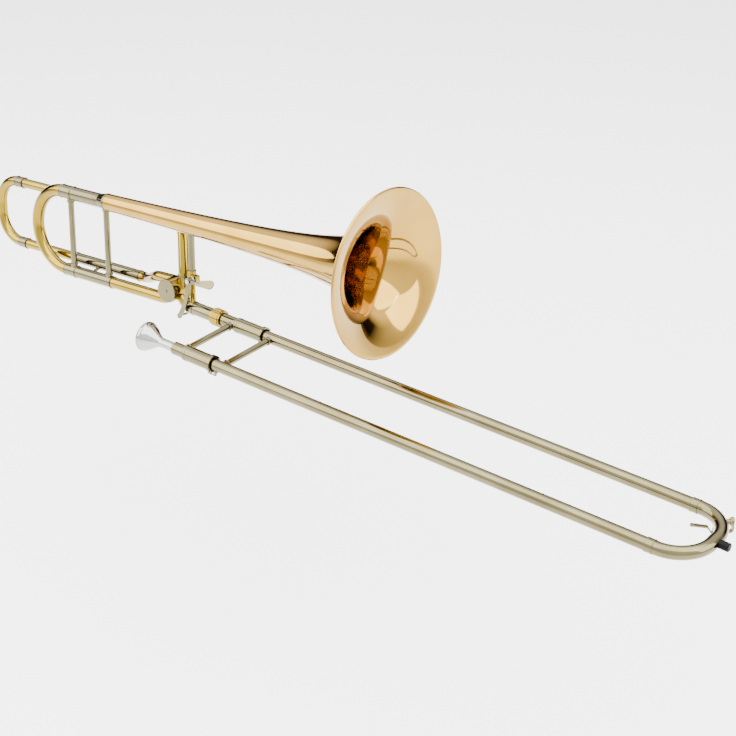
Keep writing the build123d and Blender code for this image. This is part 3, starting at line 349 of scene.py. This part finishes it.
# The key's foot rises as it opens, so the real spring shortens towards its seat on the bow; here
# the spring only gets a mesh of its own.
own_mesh(key_spring)
print("spring lengths", [round(o.dimensions.length * 1000, 1) for o in (lever_spring, key_spring)])


# %% [markdown]
# ## The spun bell
# A bell is spun over a mandrel on a lathe, so every section across it is a true circle, and a
# polished one shows any flat facet at once. It is turned here from the formula that bell
# makers' flares come close to: the radius falls as a power of the depth behind the mouth. The
# sheet is 0.6 mm thick and its edge is rolled back over a wire, which is the bead at the rim.
# It has many more segments than a machined piece needs, because it is a mirror.

# %% The spun bell
mouth, rim, wall, bead, tail, axis_up = 363.8, 107.9, 0.6, 1.75, -134.0, 116.8
flare_offset, flare_power = 13.0, 0.592


def flare_point(depth, inset=0.0):
    """Station and radius of the flare at a depth behind the mouth, moved in by a wall."""
    radius = rim * (flare_offset / (flare_offset + depth)) ** flare_power
    slope = flare_power * radius / (flare_offset + depth)
    normal = (1 + slope ** 2) ** 0.5
    return mouth - depth + inset * slope / normal, radius - inset / normal


# Rows lie closer together near the rim; spread is how gently their spacing grows.
first, rows, spread = 0.75, 90, 6.0
growth = ((mouth - tail + spread) / (first + spread)) ** (1.0 / rows)
depths = [(first + spread) * growth ** row - spread for row in range(rows + 1)]
outside = [flare_point(depth) for depth in reversed(depths)]
roll = [(mouth - bead + bead * cos(radians(angle)), rim - bead + bead * sin(radians(angle)))
        for angle in range(-66, -361, -14)]
inside = [flare_point(depth, wall) for depth in depths]
profile = outside + roll + inside
turns = 256
points, faces = [], []
for along, radius in profile:
    for step in range(turns):
        angle = tau * step / turns
        points.append(at_bell(along, axis_up + radius * cos(angle), radius * sin(angle)))
for row in range(len(profile)):
    below, above = row * turns, (row + 1) % len(profile) * turns
    for step in range(turns):
        after = (step + 1) % turns
        faces.append((below + step, below + after, above + after, above + step))
bell_mesh = bpy.data.meshes.new("spun_bell")
bell_mesh.from_pydata(points, [], faces)
shape = bmesh.new()
shape.from_mesh(bell_mesh)
bmesh.ops.recalc_face_normals(shape, faces=shape.faces)
shape.to_mesh(bell_mesh)
shape.free()
bell_mesh.shade_smooth()
bell_mesh.set_sharp_from_angle(angle=radians(50))
bell_mesh.materials.append(gold_brass)
spun_bell = bpy.data.objects.new("spun_bell", bell_mesh)
bpy.context.collection.objects.link(spun_bell)
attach(spun_bell, "inner_slide")
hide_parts("bell_flare", "bell_stem")
print("bell rows", len(profile), "throat radius", round(flare_point(mouth - 180.0)[1], 1), "mm")


# %% [markdown]
# ## Beads and solder
# Where one tube enters another, the outer one ends in a turned bead, and solder draws up into
# a small bright fillet round the foot of every brace. Both catch the light as a thin ring,
# and the eye reads a joint from them. Each is a thin torus, half sunk in the metal beside it.

# %% Beads and solder
def ring(name, centre, axis, radius, thickness, material, body):
    """Closed ring of round wire, with radius and thickness in millimetres."""
    side, other = square_to(axis)
    points = [centre + (side * cos(tau * i / 64) + other * sin(tau * i / 64)) * (radius / 1000.0)
              for i in range(64)]
    bead = wire(name, points, thickness / 1000.0, material, body, cyclic=True)
    return bead


across = Vector((0, 1, 0))
ahead = Vector((1, 0, 0))
made = []
for name, x, tube, body in (("inner_brace", 0.0, (8.9, 9.1), "inner_slide"),
                            ("outer_brace", 0.0676, (8.0, 8.0), "hand_slide")):
    for side, radius in zip((-1, 1), tube):
        foot = Vector((x, side * (tube_y - radius / 1000.0 - 0.003), 0))
        made.append(ring(name + ("_bead_left", "_bead_right")[side > 0], foot, across, 5.3, 0.55,
                         nickel_silver, body))
for name, along, low_up, high_up, body in (
        ("rear_brace", -140.6, 11.7, 104.3, "inner_slide"),
        ("tuning_brace", -213.6, 11.9, 103.9, "main_tuning_slide")):
    for end, up in (("low", low_up), ("high", high_up)):
        made.append(ring(name + "_bead_" + end, at_bell(along, up), bell_up, 5.3, 0.55,
                         nickel_silver, body))
made.append(ring("bell_post_collar_low", at_bell(25.3, 51.3), bell_up, 5.6, 0.6, nickel_silver,
                 "inner_slide"))
print("beads", len(made))

# %% [markdown]
# ## Turned lines on the ferrules
# Ferrules, sleeves and the cork barrels are finished on a lathe, which leaves a raised bead at
# each end. They are rings again, now round the tubes, and they move with the slide that
# carries them.

# %% Turned lines on the ferrules
bow_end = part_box("bow_ferrules")
bow_ferrule = (bow_end[1][2] - bow_end[0][2]) * 500.0
for side in (-1, 1):
    word = ("left", "right")[side > 0]
    for label, x, radius, body, metal in (
            ("bow_ferrule_front", bow_end[1][0] - 0.0008, bow_ferrule - 0.15, "hand_slide",
             nickel_silver),
            ("bow_ferrule_back", bow_end[0][0] + 0.0008, bow_ferrule - 0.15, "hand_slide",
             nickel_silver),
            ("barrel_back", 0.0072, 10.1, "inner_slide", nickel_silver),
            ("barrel_line", 0.0112, 10.3, "inner_slide", nickel_silver)):
        ring(label + "_" + word, Vector((x, side * tube_y, 0)), ahead, radius, 0.45, metal, body)
for label, along, up, out, radius, body in (
        ("upper_ferrule_back", -228.2, 116.8, 0, 9.95, "main_tuning_slide"),
        ("lower_ferrule_back", -228.2, 0, 0, 8.9, "main_tuning_slide"),
        ("upper_ferrule_front", -207.2, 116.8, 0, 9.95, "main_tuning_slide"),
        ("lower_ferrule_front", -207.2, 0, 0, 8.9, "main_tuning_slide"),
        ("upper_sleeve_back", -205.1, 116.8, 0, 9.8, "inner_slide"),
        ("lower_sleeve_back", -205.1, 0, 0, 8.65, "inner_slide"),
        ("f_upper_ferrule_back", -354.2, 104.5, -22, 8.15, "f_tuning_slide"),
        ("f_upper_ferrule_front", -339.8, 104.5, -22, 8.15, "f_tuning_slide"),
        ("f_lower_ferrule_front", -339.8, 11.5, -22, 8.15, "f_tuning_slide")):
    ring(label, at_bell(along, up, out), bell_forward, radius, 0.4, nickel_silver, body)

# %% [markdown]
# ## Floor, light and surroundings
# Polished metal has almost no colour of its own: it shows what is round it. A product table
# gives it a pale floor, a large soft light above and to each side, and a darker strip at eye
# level on the far side that draws the thin dark line along the top of every tube. The strip is
# in the sky's own gradient, so it is the same for every view, and only reflections show it: the
# backdrop itself stays pale.

# %% Floor
floor_level = low.z - 0.35  # well below, so no shadow edge shows near the instrument
floor_size = 24.0
bpy.ops.mesh.primitive_plane_add(size=floor_size, location=(0, 0, floor_level))
floor = bpy.context.object
floor.name = "studio_floor"
floor_material, tree = new_material("pale_paper_floor")
floor_shader = add_node(tree, "ShaderNodeBsdfPrincipled",
                        {"Base Color": linear("F4F4F3"), "Roughness": 0.9})
add_node(tree, "ShaderNodeOutputMaterial", {}, {"Surface": floor_shader.outputs["BSDF"]})
paint(floor, floor_material)

# %% Sky
world = bpy.data.worlds.new("studio_sky")
bpy.context.scene.world = world
world.use_nodes = True
sky = world.node_tree
sky.nodes.clear()
place = add_node(sky, "ShaderNodeTexCoord")
split = add_node(sky, "ShaderNodeSeparateXYZ", {}, {"Vector": place.outputs["Generated"]})
def sky_ramp(stops):
    """Gradient of the sky by height, as (position, sRGB hex) from the horizon up."""
    ramp = add_node(sky, "ShaderNodeValToRGB", {}, {"Fac": split.outputs["Z"]})
    while len(ramp.color_ramp.elements) < len(stops):
        ramp.color_ramp.elements.new(0.5)
    for element, (position, code) in zip(ramp.color_ramp.elements, stops):
        element.position = position
        element.color = linear(code)
    return ramp


plain = sky_ramp([(0.0, "E4E1DC"), (0.3, "F4F2EF"), (0.6, "FFFFFF")])
dark = sky_ramp([(0.0, "4A3F35"), (0.05, "120E0B"), (0.3, "211A14"), (0.42, "A59F96"),
                 (0.6, "FFFFFF")])
facing = add_node(sky, "ShaderNodeVectorMath", {"operation": "DOT_PRODUCT", 1: (-0.63, 0.78, 0.0)},
                  {0: place.outputs["Generated"]})
far_side = add_node(sky, "ShaderNodeMapRange", {"From Min": -0.15, "From Max": 0.45},
                    {"Value": facing.outputs["Value"]})
ray = add_node(sky, "ShaderNodeLightPath")
in_metal = add_node(sky, "ShaderNodeMath", {"operation": "SUBTRACT", "use_clamp": True},
                    {0: far_side.outputs["Result"], 1: ray.outputs["Is Camera Ray"]})
colour = add_node(sky, "ShaderNodeMix", {"data_type": "RGBA"},
                  {0: in_metal.outputs["Value"], 6: plain.outputs["Color"],
                   7: dark.outputs["Color"]})
background = add_node(sky, "ShaderNodeBackground", {"Strength": 3.4},
                      {"Color": colour.outputs[2]})
add_node(sky, "ShaderNodeOutputWorld", {}, {"Surface": background.outputs["Background"]})


# %% Softboxes
def softbox(name, place, target, width, height, power):
    """Large area light aimed at a point."""
    lamp = bpy.data.lights.new(name, "AREA")
    lamp.shape = "RECTANGLE"
    lamp.size = width
    lamp.size_y = height
    lamp.energy = power
    obj = bpy.data.objects.new(name, lamp)
    bpy.context.collection.objects.link(obj)
    obj.location = place
    obj.rotation_euler = (Vector(target) - Vector(place)).to_track_quat("-Z", "Y").to_euler()
    return obj


middle = (low + high) / 2
softbox("overhead_softbox", middle + Vector((0.2, -0.3, 2.2)), middle, 4.0, 3.0, 260)
softbox("left_softbox", middle + Vector((-1.9, -1.3, 1.2)), middle, 2.2, 1.8, 90)
softbox("right_softbox", middle + Vector((2.3, 0.7, 1.1)), middle, 1.8, 2.0, 80)

# %% [markdown]
# ## Camera
# The camera stands ahead of the bell, on the mouthpiece side and well above the slide, and
# looks down along the instrument. A long lens keeps the near bow from growing too large.

# %% Camera
camera_data = bpy.data.cameras.new("camera")
sensor = 36.0
focal_length, image_width = 1670.0, 736.0  # both in pixels
camera_data.sensor_width = sensor
camera_data.lens = focal_length / image_width * sensor
camera = bpy.data.objects.new("camera", camera_data)
bpy.context.collection.objects.link(camera)
camera_right = Vector((0.779347, 0.626589, -0.002250))
camera_up = Vector((-0.304314, 0.381638, 0.872781))
camera_back = camera_right.cross(camera_up)
turn = Matrix((camera_right, camera_up, camera_back)).transposed()
camera.matrix_world = Matrix.Translation(Vector((1.3805, -1.3790, 1.0379))) @ turn.to_4x4()
bpy.context.scene.camera = camera
